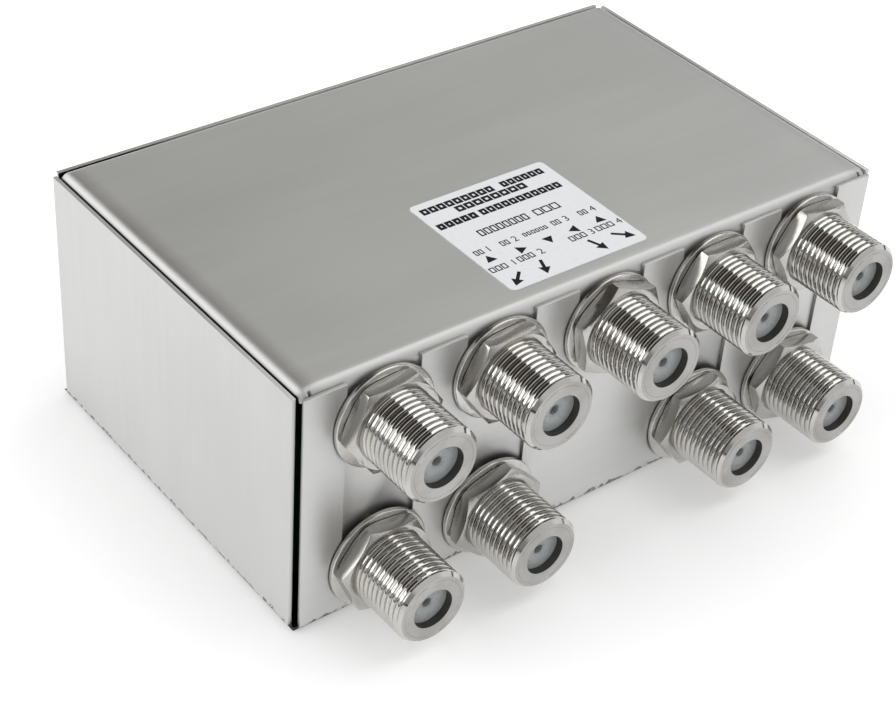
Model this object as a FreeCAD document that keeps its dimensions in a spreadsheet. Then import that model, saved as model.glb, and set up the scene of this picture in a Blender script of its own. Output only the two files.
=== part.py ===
import FreeCAD, Part
import Sketcher
import os
import re

# Coaxial splitter: a folded sheet box of two nested trays, nine screw-on coaxial sockets on its front wall
# and the splitter board behind them. Millimetres. X runs along the front from left to right, Y from the
# front wall to the back wall, Z up. The origin is the middle of the base.

doc = FreeCAD.newDocument("coaxial_splitter")
sheet = doc.addObject("Spreadsheet::Sheet", "Sizes")

# Driving dimensions
DRIVING_SIZES = [
    ("thread_diameter", 9.525),
    ("thread_engaged_depth", 0.25),
    ("socket_reach", 10.8),
    ("nose_chamfer", 0.45),
    ("mouth_diameter", 5.2),
    ("mouth_depth", 1.0),
    ("hole_play", 0.18),
    ("washer_play", 0.28),
    ("washer_ring", 1.6),
    ("washer_hang", 0.1),
    ("washer_thickness", 0.6),
    ("nut_wall", 0.74),
    ("nut_height", 2.1),
    ("nut_face_drop", 0.49),
    ("shoulder_lip", 0.15),
    ("shoulder_thickness", 1.5),
    ("shoulder_clearance", 0.05),
    ("insulator_front_wall", 1.0),
    ("insulator_entry_diameter", 1.2),
    ("contact_diameter", 2.0),
    ("contact_bore_diameter", 1.1),
    ("contact_bore_depth", 6.0),
    ("contact_slot_width", 0.25),
    ("contact_slot_depth", 4.0),
    ("tail_diameter", 0.9),
    ("tail_stand_out", 1.0),
    ("fit_gap", 0.02),
    ("thread_gap", 0.05),
    ("column_gap", 2.9),
    ("row_gap", 7.25),
    ("side_margin", 4.7),
    ("base_margin", 0.3),
    ("case_depth", 52.8),
    ("sheet_thickness", 0.5),
    ("base_bend_radius", 1.0),
    ("wall_corner_gap", 0.95),
    ("wall_slit_foot", 0.6),
    ("cover_rise", 0.5),
    ("cover_bend_radius", 1.3),
    ("cover_side_gap", 0.1),
    ("cover_back_gap", 0.25),
    ("cover_foot_gap", 0.1),
    ("cover_corner_cut", 1.4),
    ("cover_notch_width", 0.4),
    ("cover_notch_depth", 0.6),
    ("cover_notch_inset", 1.5),
    ("board_distance", 6.0),
    ("board_side_gap", 2.9),
    ("board_head_gap", 2.3),
    ("board_foot", 2.6),
    ("board_thickness", 1.6),
    ("core_width", 5.2),
    ("core_height", 2.8),
    ("core_length", 4.0),
    ("core_hole_diameter", 1.3),
    ("core_drop", 8.6),
    ("winding_width", 0.8),
    ("winding_thickness", 0.6),
    ("winding_clearance", 0.15),
    ("coil_wire_diameter", 0.5),
    ("coil_diameter", 3.2),
    ("coil_length", 3.6),
    ("coil_stand_off", 0.6),
    ("coil_drop", 2.6),
    ("capacitor_length", 2.0),
    ("capacitor_width", 1.25),
    ("capacitor_height", 0.9),
    ("capacitor_pitch", 3.2),
    ("capacitor_drop", 6.75),
    ("label_width", 20.2),
    ("label_depth", 20.0),
    ("label_thickness", 0.1),
    ("label_corner_radius", 0.7),
    ("label_setback", 3.4),
    ("label_offset", -1.75),
]
for row, (alias, value) in enumerate(DRIVING_SIZES, start=1):
    sheet.set("A%d" % row, alias)
    sheet.set("B%d" % row, str(value))
    sheet.setAlias("B%d" % row, alias)
doc.recompute()

SIZE_NAMES = re.compile(r"\b(%s)\b" % "|".join(alias for alias, value in DRIVING_SIZES))
ALONG_Y = FreeCAD.Rotation(FreeCAD.Vector(1, 0, 0), -90)
ALONG_X = FreeCAD.Rotation(FreeCAD.Vector(0, 1, 0), 90)
UPRIGHT = FreeCAD.Rotation()

# What follows from the driving dimensions. The case is as large as its sockets need: their washers stand a
# gap apart, and the shoulders of the upper row fit under the cover's bend.
THREAD_RADIUS = "(thread_diameter / 2)"
ENGAGED_RADIUS = "(thread_diameter / 2 - thread_engaged_depth)"
HOLE_DIAMETER = "(thread_diameter + hole_play)"
WASHER_HOLE = "(thread_diameter + washer_play)"
WASHER_DIAMETER = "(thread_diameter + washer_play + 2 * washer_ring)"
NUT_FLATS = "(thread_diameter + 2 * nut_wall)"
SHOULDER_FLATS = "(thread_diameter + hole_play + 2 * shoulder_lip)"
COLUMN_PITCH = "(%s + column_gap)" % WASHER_DIAMETER
LOWER_ROW = "(base_margin + %s / 2)" % WASHER_DIAMETER
UPPER_ROW = "(%s + %s + row_gap)" % (LOWER_ROW, WASHER_DIAMETER)
CASE_WIDTH = "(4 * %s + %s + 2 * side_margin)" % (COLUMN_PITCH, WASHER_DIAMETER)
COVER_TOP = "(%s + %s / 2 + shoulder_clearance + cover_bend_radius)" % (UPPER_ROW, SHOULDER_FLATS)
WALL_HEIGHT = "(%s - cover_rise)" % COVER_TOP
COVER_WIDTH = "(%s - 2 * sheet_thickness - 2 * cover_side_gap)" % CASE_WIDTH
COVER_DEPTH = "(case_depth - 2 * sheet_thickness - cover_back_gap)"
COVER_FOOT = "(base_bend_radius + cover_foot_gap)"
FRONT = "(-case_depth / 2)"
INNER_FACE = "(-case_depth / 2 + 2 * sheet_thickness)"
NOSE_PLANE = "(-case_depth / 2 - socket_reach)"
NUT_FACE = "(-case_depth / 2 - washer_thickness - nut_height)"
BOARD_PLANE = "(-case_depth / 2 + board_distance)"
BOARD_BACK = "(-case_depth / 2 + board_distance + board_thickness)"
BOARD_WIDTH = "(%s - 2 * sheet_thickness - 2 * board_side_gap)" % COVER_WIDTH
BOARD_HEIGHT = "(%s - sheet_thickness - board_head_gap - board_foot)" % COVER_TOP
SOCKET_LENGTH = "(socket_reach + board_distance)"


def bind(thing, prop, text):
    """Tie one property of an object to an expression in the sheet's named sizes."""
    thing.setExpression(prop, SIZE_NAMES.sub(r"Sizes.\1", text))


def place(thing, x, y, z, turn=UPRIGHT):
    """Put an object at a bound position with a fixed turn."""
    thing.Placement = FreeCAD.Placement(FreeCAD.Vector(), turn)
    bind(thing, "Placement.Base.x", x)
    bind(thing, "Placement.Base.y", y)
    bind(thing, "Placement.Base.z", z)


def block(label, length, width, height, x, y, z, turn=UPRIGHT):
    """A box with its low corner at x, y, z."""
    thing = doc.addObject("Part::Box", label)
    bind(thing, "Length", length)
    bind(thing, "Width", width)
    bind(thing, "Height", height)
    place(thing, x, y, z, turn)
    return thing


def rod(label, radius, length, x, y, z, turn=UPRIGHT):
    """A round rod that starts at x, y, z."""
    thing = doc.addObject("Part::Cylinder", label)
    bind(thing, "Radius", radius)
    bind(thing, "Height", length)
    place(thing, x, y, z, turn)
    return thing


def joined(label, pieces):
    """Several solids fused into one."""
    thing = doc.addObject("Part::MultiFuse", label)
    thing.Shapes = pieces
    return thing


def cut_away(label, solid, tool):
    """A solid less another."""
    thing = doc.addObject("Part::Cut", label)
    thing.Base = solid
    thing.Tool = tool
    return thing


def shared_part(label, one, other):
    """What two solids have in common."""
    thing = doc.addObject("Part::Common", label)
    thing.Base = one
    thing.Tool = other
    return thing


def body_sketch(body, role, corners):
    """A closed outline on one of the body's own planes, each corner held by its two distances."""
    sketch = body.newObject("Sketcher::SketchObject", body.Name + "_outline")
    plane = [item for item in body.Origin.OriginFeatures if item.Role == role][0]
    sketch.AttachmentSupport = [(plane, "")]
    sketch.MapMode = "FlatFace"
    count = len(corners)
    rough = Part.makePolygon([FreeCAD.Vector(1 + i, (1 + i) ** 2, 0) for i in range(count)]).Vertexes
    for i in range(count):
        start = rough[i].Point
        end = rough[(i + 1) % count].Point
        sketch.addGeometry(Part.LineSegment(start, end), False)
    for i in range(count):
        sketch.addConstraint(Sketcher.Constraint("Coincident", i, 2, (i + 1) % count, 1))
    for i, corner in enumerate(corners):
        for kind, axis, text in (("DistanceX", -2, corner[0]), ("DistanceY", -1, corner[1])):
            if text == "0":
                sketch.addConstraint(Sketcher.Constraint("PointOnObject", i, 1, axis))
                continue
            held = sketch.addConstraint(Sketcher.Constraint(kind, -1, 1, i, 1, 1.0 + i))
            bind(sketch, "Constraints[%d]" % held, text)
    return sketch


def turned(label, profile, x, y, z):
    """A turned piece: a half section of (radius, distance along) corners, spun about the Y axis."""
    body = doc.addObject("PartDesign::Body", label)
    sketch = body_sketch(body, "XY_Plane", profile)
    spin = body.newObject("PartDesign::Revolution", label + "_turning")
    spin.Profile = sketch
    spin.ReferenceAxis = (sketch, ["V_Axis"])
    spin.Angle = 360.0
    sketch.Visibility = False
    body.Tip = spin
    place(body, x, y, z)
    return body


def plate(label, width, depth, height, x, y, z):
    """A rectangular pad that later features work on."""
    body = doc.addObject("PartDesign::Body", label)
    outline = [("0", "0"), (width, "0"), (width, depth), ("0", depth)]
    sketch = body_sketch(body, "XY_Plane", outline)
    pad = body.newObject("PartDesign::Pad", label + "_pad")
    pad.Profile = sketch
    bind(pad, "Length", height)
    body.Tip = pad
    place(body, x, y, z)
    doc.recompute()
    return body, pad


def round_edges(body, base, label, radius, wanted):
    """Round those edges of a feature that the wanted test picks."""
    names = ["Edge%d" % (i + 1) for i, edge in enumerate(base.Shape.Edges) if wanted(edge.BoundBox)]
    fillet = body.newObject("PartDesign::Fillet", label)
    fillet.Base = (base, names)
    bind(fillet, "Radius", radius)
    body.Tip = fillet
    doc.recompute()
    return fillet


def fold_up(body, base, label, wanted):
    """Hollow a rounded block to the sheet's thickness, open at the face that the wanted test picks."""
    names = ["Face%d" % (i + 1) for i, face in enumerate(base.Shape.Faces) if wanted(face.BoundBox)]
    shell = body.newObject("PartDesign::Thickness", label)
    shell.Base = (base, names)
    bind(shell, "Value", "sheet_thickness")
    shell.Mode = 0
    shell.Join = 0
    shell.Reversed = True
    body.Tip = shell
    doc.recompute()
    return shell


def flat_at(low, high, level):
    """True where a box's two bounds both lie at one level."""
    return abs(low - level) < 1e-6 and abs(high - level) < 1e-6


def upright(box):
    """True for the box of an edge that stands straight up."""
    return flat_at(box.XMin, box.XMax, box.XMin) and flat_at(box.YMin, box.YMax, box.YMin)


# The nine sockets: name, column counted from the middle one, height of the row
SOCKETS = [
    ("in_1", -2, UPPER_ROW),
    ("in_2", -1, UPPER_ROW),
    ("terrestrial_in", 0, UPPER_ROW),
    ("in_3", 1, UPPER_ROW),
    ("in_4", 2, UPPER_ROW),
    ("out_1", -2, LOWER_ROW),
    ("out_2", -1, LOWER_ROW),
    ("out_3", 1, LOWER_ROW),
    ("out_4", 2, LOWER_ROW),
]
LOWEST_SOCKET = {-2: LOWER_ROW, -1: LOWER_ROW, 0: UPPER_ROW, 1: LOWER_ROW, 2: LOWER_ROW}
# How far each nut is turned, in degrees, with a corner to the right at nought
NUT_TURNS = {
    "in_1": 5.5,
    "in_2": 4.5,
    "terrestrial_in": 40.5,
    "in_3": 59.5,
    "in_4": 55.5,
    "out_1": 53.5,
    "out_2": 17.5,
    "out_3": 8.5,
    "out_4": 51.5,
}


def column_x(column):
    """Where a column of sockets stands along the front."""
    return "%d * %s" % (column, COLUMN_PITCH)


# Bottom tray: one sheet with four walls folded up, a slot in the front wall for each column
def make_bottom_tray():
    body, pad = plate("tray_blank", CASE_WIDTH, "case_depth", WALL_HEIGHT,
                      "-%s / 2" % CASE_WIDTH, FRONT, "0")
    bent = round_edges(body, pad, "tray_bends", "base_bend_radius",
                       lambda box: flat_at(box.ZMin, box.ZMax, 0.0))
    top = bent.Shape.BoundBox.ZMax
    fold_up(body, bent, "tray_walls", lambda box: flat_at(box.ZMin, box.ZMax, top))
    openings = []
    for column, row in LOWEST_SOCKET.items():
        name = "tray_slot_%d" % (column + 3)
        openings.append(block(name, HOLE_DIAMETER, "3 * sheet_thickness", WALL_HEIGHT,
                              "%s - %s / 2" % (column_x(column), HOLE_DIAMETER),
                              FRONT + " - sheet_thickness", row))
        openings.append(rod(name + "_end", HOLE_DIAMETER + " / 2", "3 * sheet_thickness",
                            column_x(column), FRONT + " - sheet_thickness", row, ALONG_Y))
    for side_x in (-1, 1):
        for side_y in (-1, 1):
            openings.append(block("tray_slit", "2 * wall_corner_gap", "2 * wall_corner_gap", WALL_HEIGHT,
                                  "%d * %s / 2 - wall_corner_gap" % (side_x, CASE_WIDTH),
                                  "%d * case_depth / 2 - wall_corner_gap" % side_y,
                                  "wall_slit_foot"))
    cut_away("bottom_tray", body, joined("tray_openings", openings))


# Top cover: one sheet with four walls folded down inside the tray, which carries the sockets. Its corners are
# rounded off at the top and open below, with a relief notch beside each in the front and the back bend.
def make_top_cover():
    body, pad = plate("cover_blank", COVER_WIDTH, COVER_DEPTH, COVER_TOP + " - " + COVER_FOOT,
                      "-%s / 2" % COVER_WIDTH, FRONT + " + sheet_thickness", COVER_FOOT)
    top = pad.Shape.BoundBox.ZMax
    bent = round_edges(body, pad, "cover_bends", "cover_bend_radius",
                       lambda box: flat_at(box.ZMin, box.ZMax, top) or upright(box))
    bottom = bent.Shape.BoundBox.ZMin
    fold_up(body, bent, "cover_walls", lambda box: flat_at(box.ZMin, box.ZMax, bottom))
    openings = []
    for name, column, row in SOCKETS:
        openings.append(rod("cover_hole_" + name, HOLE_DIAMETER + " / 2", "3 * sheet_thickness",
                            column_x(column), FRONT, row, ALONG_Y))
    middle_y = "(%s + sheet_thickness + %s / 2)" % (FRONT, COVER_DEPTH)
    bend_foot = "(%s - cover_bend_radius)" % COVER_TOP
    for side_x in (-1, 1):
        corner_x = "%d * %s / 2" % (side_x, COVER_WIDTH)
        notch_x = "%d * (%s / 2 - cover_notch_inset)" % (side_x, COVER_WIDTH)
        for side_y in (-1, 1):
            corner_y = "%s + %d * %s / 2" % (middle_y, side_y, COVER_DEPTH)
            openings.append(block("cover_corner", "2 * cover_corner_cut", "2 * cover_corner_cut", bend_foot,
                                  corner_x + " - cover_corner_cut", corner_y + " - cover_corner_cut", "0"))
            openings.append(block("cover_notch", "cover_notch_width", "2 * cover_notch_depth",
                                  "2 * cover_bend_radius", notch_x + " - cover_notch_width / 2",
                                  corner_y + " - cover_notch_depth", bend_foot + " - cover_bend_radius / 2"))
    cut_away("top_cover", body, joined("cover_openings", openings))


# Socket body: turned from hexagon bar. Its thread is a plain rod of the thread's outside diameter up to the
# nut, and from there to the board a rod of the depth that the nut's thread grips. A six-sided shoulder lies
# behind the two front walls, its upper flat just under the cover's bend.
def make_socket_body(name, x, row):
    nut_front = "(socket_reach - washer_thickness - nut_height)"
    profile = [
        ("mouth_diameter / 2", "0"),
        (THREAD_RADIUS + " - nose_chamfer", "0"),
        (THREAD_RADIUS, "nose_chamfer"),
        (THREAD_RADIUS, nut_front),
        (ENGAGED_RADIUS, nut_front),
        (ENGAGED_RADIUS, SOCKET_LENGTH),
        ("mouth_diameter / 2", SOCKET_LENGTH),
    ]
    barrel = turned(name + "_barrel", profile, x, NOSE_PLANE, row)
    bar = doc.addObject("Part::Prism", name + "_bar")
    bar.Polygon = 6
    bind(bar, "Circumradius", SHOULDER_FLATS + " / 2 / cos(30)")
    bind(bar, "Height", "shoulder_thickness")
    place(bar, x, INNER_FACE, row, ALONG_Y)
    hole = rod(name + "_bar_hole", ENGAGED_RADIUS, "shoulder_thickness", x, INNER_FACE, row, ALONG_Y)
    joined(name + "_body", [barrel, cut_away(name + "_shoulder", bar, hole)])


# Insulator: moulded bush with a small entry hole in front of the contact
def make_insulator(name, x, row):
    pocket = "(mouth_depth + insulator_front_wall)"
    profile = [
        ("insulator_entry_diameter / 2", "mouth_depth"),
        ("mouth_diameter / 2 - fit_gap", "mouth_depth"),
        ("mouth_diameter / 2 - fit_gap", SOCKET_LENGTH),
        ("contact_diameter / 2 + fit_gap", SOCKET_LENGTH),
        ("contact_diameter / 2 + fit_gap", pocket),
        ("insulator_entry_diameter / 2", pocket),
    ]
    turned(name + "_insulator", profile, x, NOSE_PLANE, row)


# Contact: turned pin with a slit spring socket in front and a tail that passes the board
def make_contact(name, x, row):
    front = "(mouth_depth + insulator_front_wall)"
    tail_end = "(%s + board_thickness + tail_stand_out)" % SOCKET_LENGTH
    profile = [
        ("contact_bore_diameter / 2", front),
        ("contact_diameter / 2", front),
        ("contact_diameter / 2", SOCKET_LENGTH),
        ("tail_diameter / 2", SOCKET_LENGTH),
        ("tail_diameter / 2", tail_end),
        ("0", tail_end),
        ("0", front + " + contact_bore_depth"),
        ("contact_bore_diameter / 2", front + " + contact_bore_depth"),
    ]
    pin = turned(name + "_contact_turning", profile, x, NOSE_PLANE, row)
    slot = block(name + "_contact_slot", "contact_slot_width", "contact_slot_depth + fit_gap",
                 "2 * contact_diameter", x + " - contact_slot_width / 2",
                 "%s + %s - fit_gap" % (NOSE_PLANE, front), row + " - contact_diameter")
    cut_away(name + "_contact", pin, slot)


# Washer: flat stamped ring against the outside of the front wall, hanging a little low on the thread
def make_washer(name, x, row):
    profile = [
        (WASHER_HOLE + " / 2", "0"),
        (WASHER_DIAMETER + " / 2", "0"),
        (WASHER_DIAMETER + " / 2", "washer_thickness"),
        (WASHER_HOLE + " / 2", "washer_thickness"),
    ]
    turned(name + "_washer", profile, x, FRONT + " - washer_thickness", row + " - washer_hang")


# Nut: hexagon with both rims turned down to a circle as wide as its flats, on the thread against the washer
def make_nut(name, x, row):
    corner = "(%s / 2 / cos(30))" % NUT_FLATS
    bore = "(%s + thread_gap)" % ENGAGED_RADIUS
    profile = [
        (bore, "0"),
        (NUT_FLATS + " / 2", "0"),
        (corner, "nut_face_drop"),
        (corner, "nut_height - nut_face_drop"),
        (NUT_FLATS + " / 2", "nut_height"),
        (bore, "nut_height"),
    ]
    blank = turned(name + "_nut_turning", profile, x, NUT_FACE, row)
    hexagon = doc.addObject("Part::Prism", name + "_nut_hexagon")
    hexagon.Polygon = 6
    bind(hexagon, "Circumradius", corner)
    bind(hexagon, "Height", "nut_height")
    spun = FreeCAD.Rotation(FreeCAD.Vector(0, -1, 0), NUT_TURNS[name])
    place(hexagon, x, NUT_FACE, row, spun.multiply(ALONG_Y))
    shared_part(name + "_nut", blank, hexagon)


# Splitter board: stands behind the sockets, drilled for the nine contact tails
def make_board():
    holes = []
    for name, column, row in SOCKETS:
        holes.append(rod("board_hole_" + name, "tail_diameter / 2 + thread_gap", "2 * board_thickness",
                         column_x(column), BOARD_PLANE + " - board_thickness / 2", row, ALONG_Y))
    board = block("board_blank", BOARD_WIDTH, "board_thickness", BOARD_HEIGHT,
                  "-%s / 2" % BOARD_WIDTH, BOARD_PLANE, "board_foot")
    cut_away("circuit_board", board, joined("board_holes", holes))


# Splitter transformer: a two-hole ferrite core on the board, and a bundle of turns through its holes whose
# two ends reach down to the board
def make_transformer(number, x, z):
    half = "(core_width / 2 - core_height / 2)"
    middle = BOARD_BACK + " + core_height / 2"
    low = "(%s - core_length / 2)" % z
    parts = [block("core_middle", "2 * " + half, "core_height", "core_length",
                   x + " - " + half, BOARD_BACK, low)]
    holes = []
    for side in (-1, 1):
        side_x = "%s + %d * %s" % (x, side, half)
        parts.append(rod("core_round", "core_height / 2", "core_length", side_x, middle, low))
        holes.append(rod("core_hole", "core_hole_diameter / 2", "2 * core_length",
                         side_x, middle, low + " - core_length / 2"))
    core = joined("core_form_%d" % number, parts)
    cut_away("splitter_core_%d" % number, core, joined("core_holes_%d" % number, holes))
    inner = "(core_length + 2 * winding_clearance)"
    bundle = block("winding_outside", "2 * %s + winding_width" % half, "winding_thickness",
                   inner + " + 2 * winding_width", "%s - %s - winding_width / 2" % (x, half),
                   middle + " - winding_thickness / 2", "%s - %s / 2 - winding_width" % (z, inner))
    inside = block("winding_inside", "2 * %s - winding_width" % half, "2 * winding_thickness", inner,
                   "%s - %s + winding_width / 2" % (x, half), middle + " - winding_thickness",
                   "%s - %s / 2" % (z, inner))
    wires = [cut_away("winding_bundle_%d" % number, bundle, inside)]
    for end in (-1, 1):
        lead_z = "%s + %d * (%s + winding_width) / 2 - winding_width / 4" % (z, end, inner)
        wires.append(block("winding_lead", "winding_width / 2", "core_height / 2", "winding_width / 2",
                           x + " - winding_width / 4", BOARD_BACK, lead_z))
    joined("splitter_winding_%d" % number, wires)


# Filter coil: close turns of wire around air, standing off the board on its two ends
def make_coil(number, x, z):
    centre = BOARD_BACK + " + coil_stand_off + coil_diameter / 2"
    start = x + " - coil_length / 2"
    turns = rod("coil_outside", "coil_diameter / 2", "coil_length", start, centre, z, ALONG_X)
    air = rod("coil_inside", "coil_diameter / 2 - coil_wire_diameter", "2 * coil_length",
              start + " - coil_length / 2", centre, z, ALONG_X)
    tube = cut_away("coil_tube_%d" % number, turns, air)
    leads = []
    for side in (-1, 1):
        lead_x = "%s + %d * (coil_length / 2 - coil_wire_diameter)" % (x, side)
        leads.append(block("coil_lead", "coil_wire_diameter", "coil_stand_off + coil_wire_diameter / 2",
                           "coil_wire_diameter", lead_x + " - coil_wire_diameter / 2", BOARD_BACK,
                           z + " - coil_wire_diameter / 2"))
    joined("filter_coil_%d" % number, [tube] + leads)


# Chip capacitors: three in a row under each satellite input, one group of separate solids
def make_capacitors(columns):
    chips = []
    for column in columns:
        for step in (-1, 0, 1):
            chips.append(block("chip_capacitor", "capacitor_width", "capacitor_height", "capacitor_length",
                               "%s + %d * capacitor_pitch - capacitor_width / 2" % (column_x(column), step),
                               BOARD_BACK, UPPER_ROW + " - capacitor_drop - capacitor_length / 2"))
    group = doc.addObject("Part::Compound", "chip_capacitors")
    group.Links = chips


# Label: printed paper stuck on the top near the front edge
def make_label():
    body, pad = plate("port_label", "label_width", "label_depth", "label_thickness",
                      "label_offset - label_width / 2", FRONT + " + label_setback", COVER_TOP)
    round_edges(body, pad, "label_corners", "label_corner_radius", upright)


make_bottom_tray()
make_top_cover()
for socket_name, socket_column, socket_row in SOCKETS:
    for make in (make_socket_body, make_insulator, make_contact, make_washer, make_nut):
        make(socket_name, column_x(socket_column), socket_row)
make_board()
CORE_LEVEL = UPPER_ROW + " - core_drop"
make_transformer(1, column_x(0), CORE_LEVEL)
make_transformer(2, "-%s / 2" % COLUMN_PITCH, LOWER_ROW)
make_transformer(3, "%s / 2" % COLUMN_PITCH, LOWER_ROW)
COIL_LEVEL = "((%s + %s) / 2 - coil_drop)" % (LOWER_ROW, UPPER_ROW)
for coil_number, coil_column in enumerate((-2, -1, 1, 2), start=1):
    make_coil(coil_number, column_x(coil_column), COIL_LEVEL)
make_capacitors((-2, -1, 1, 2))
make_label()
doc.recompute()

NODES = ["bottom_tray", "top_cover", "circuit_board", "chip_capacitors", "port_label"]
for name, column, row in SOCKETS:
    NODES += [name + "_" + piece for piece in ("body", "insulator", "contact", "washer", "nut")]
NODES += ["splitter_core_%d" % number for number in (1, 2, 3)]
NODES += ["splitter_winding_%d" % number for number in (1, 2, 3)]
NODES += ["filter_coil_%d" % number for number in (1, 2, 3, 4)]

for thing in doc.Objects:
    if "Invalid" in thing.State or "Error" in thing.State:
        raise RuntimeError("failed: " + thing.Name)

os.makedirs("parts", exist_ok=True)
for node in NODES:
    thing = doc.getObjectsByLabel(node)[0]
    if thing.Shape.isNull() or not thing.Shape.isValid():
        raise RuntimeError("bad shape: " + node)
    thing.Shape.exportStep("parts/%s.step" % node)
    solids = thing.Shape.Solids
    print(node, len(solids), round(sum(solid.Volume for solid in solids), 3))
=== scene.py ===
import math

import bpy
from mathutils import Matrix, Vector


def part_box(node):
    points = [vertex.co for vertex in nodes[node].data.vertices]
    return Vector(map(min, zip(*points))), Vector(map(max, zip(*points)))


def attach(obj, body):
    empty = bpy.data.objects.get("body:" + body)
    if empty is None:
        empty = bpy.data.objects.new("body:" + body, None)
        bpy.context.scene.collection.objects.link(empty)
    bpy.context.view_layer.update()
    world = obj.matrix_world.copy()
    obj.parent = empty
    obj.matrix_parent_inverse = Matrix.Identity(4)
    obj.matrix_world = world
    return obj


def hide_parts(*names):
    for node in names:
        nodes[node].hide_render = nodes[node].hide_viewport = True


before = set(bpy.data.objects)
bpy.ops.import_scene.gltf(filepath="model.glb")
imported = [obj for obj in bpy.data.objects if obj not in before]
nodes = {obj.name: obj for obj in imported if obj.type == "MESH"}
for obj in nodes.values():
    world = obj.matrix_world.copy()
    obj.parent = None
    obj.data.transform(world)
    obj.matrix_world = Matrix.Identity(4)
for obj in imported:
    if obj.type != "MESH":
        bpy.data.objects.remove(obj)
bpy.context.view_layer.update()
MM = 0.001
bpy.ops.object.select_all(action="DESELECT")


# The studio: a pale matt table, a soft lamp low behind the left side and one overhead to the right,
# a room that is bright round its sides and dim overhead, and a camera above the box's near corner.
CAMERA_PLACE = Vector((-0.136727, -0.163084, 0.163636))
CAMERA_YAW = 0.69204
CAMERA_PITCH = -0.64261
CAMERA_ROLL = 0.07409
CAMERA_LENS = 82.44
CAMERA_SENSOR = 36.0
CAMERA_CLIP = 0.005
AIM = Vector((0.0, -0.005, 0.02))
LAMPS = [
    ("left_lamp", (-0.77, 0.48, 0.385), 1.3, 2.2, 0.62, 10.2),
    ("high_lamp", (0.44, -0.08, 0.90), 1.4, 1.3, 1.2, 8.7),
]

sin_yaw, cos_yaw = math.sin(CAMERA_YAW), math.cos(CAMERA_YAW)
sin_pitch, cos_pitch = math.sin(CAMERA_PITCH), math.cos(CAMERA_PITCH)
look = Vector((sin_yaw * cos_pitch, cos_yaw * cos_pitch, sin_pitch))
level_right = Vector((cos_yaw, -sin_yaw, 0.0))
level_up = level_right.cross(look)
camera_right = math.cos(CAMERA_ROLL) * level_right + math.sin(CAMERA_ROLL) * level_up
camera_up = math.cos(CAMERA_ROLL) * level_up - math.sin(CAMERA_ROLL) * level_right
camera_turn = Matrix((camera_right, camera_up, -look)).transposed().to_4x4()
bpy.ops.object.camera_add()
camera = bpy.context.object
camera.matrix_world = Matrix.Translation(CAMERA_PLACE) @ camera_turn
camera.data.lens = CAMERA_LENS
camera.data.sensor_width = CAMERA_SENSOR
camera.data.clip_start = CAMERA_CLIP
bpy.context.scene.camera = camera
bpy.context.scene.view_settings.view_transform = "Standard"

for name, way, distance, width, height, power in LAMPS:
    way = Vector(way).normalized()
    along = (Vector((0.0, 1.0, 0.0)) - way * way.y).normalized()
    bpy.ops.object.light_add(type="AREA", location=AIM + way * distance)
    lamp = bpy.context.object
    lamp.name = name
    lamp.rotation_euler = Matrix((along, way.cross(along), way)).transposed().to_euler()
    lamp.data.shape = "RECTANGLE"
    lamp.data.size = width
    lamp.data.size_y = height
    lamp.data.energy = power
    lamp.visible_camera = False

MIX_SOCKETS = {"FLOAT": (2, 3, 0), "VECTOR": (4, 5, 1), "RGBA": (6, 7, 2)}
WHITE = (1.0, 1.0, 1.0, 1.0)


def new_material(name):
    material = bpy.data.materials.new(name)
    material.use_nodes = True
    material.node_tree.nodes.clear()
    return material, material.node_tree


def set_socket(tree, socket, value):
    if isinstance(value, bpy.types.NodeSocket):
        tree.links.new(value, socket)
    else:
        socket.default_value = value


def add(tree, kind, **settings):
    node = tree.nodes.new(kind)
    for key, value in settings.items():
        if key in node.inputs:
            set_socket(tree, node.inputs[key], value)
        else:
            setattr(node, key, value)
    return node


def math_node(tree, operation, first, second=None):
    node = add(tree, "ShaderNodeMath", operation=operation)
    set_socket(tree, node.inputs[0], first)
    if second is not None:
        set_socket(tree, node.inputs[1], second)
    return node.outputs[0]


def spread(tree, value, low, high, to_low, to_high):
    node = add(tree, "ShaderNodeMapRange", interpolation_type="SMOOTHSTEP")
    limits = {"Value": value, "From Min": low, "From Max": high, "To Min": to_low, "To Max": to_high}
    for label, given in limits.items():
        set_socket(tree, node.inputs[label], given)
    return node.outputs["Result"]


def mix(tree, kind, amount, first, second, blend="MIX"):
    node = add(tree, "ShaderNodeMix", data_type=kind, blend_type=blend)
    first_socket, second_socket, result = MIX_SOCKETS[kind]
    set_socket(tree, node.inputs[0], amount)
    set_socket(tree, node.inputs[first_socket], first)
    set_socket(tree, node.inputs[second_socket], second)
    return node.outputs[result]


def object_place(tree):
    return add(tree, "ShaderNodeTexCoord").outputs["Object"]


def split(tree, vector):
    return add(tree, "ShaderNodeSeparateXYZ", Vector=vector).outputs


def surface(tree, shader):
    add(tree, "ShaderNodeOutputMaterial", Surface=shader.outputs[0])


TABLE_SIZE = 3.0
TABLE_DROP = 0.00001
TABLE_COLOR = (0.76, 0.76, 0.76, 1.0)
TABLE_ROUGHNESS = 0.35
TABLE_SPECULAR = 0.25
TABLE_PAINTED_SHADE_RING = (0.04, 0.09)
TABLE_GLOW = 0.37
TABLE_GLOW_FAR = 0.58
TABLE_DIM_REFLECTION_SPAN = (-0.075, -0.045)
TABLE_REFLECTION_GLOW_LEFT = 0.28
TABLE_GLOW_MIRRORED = 0.47

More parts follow.
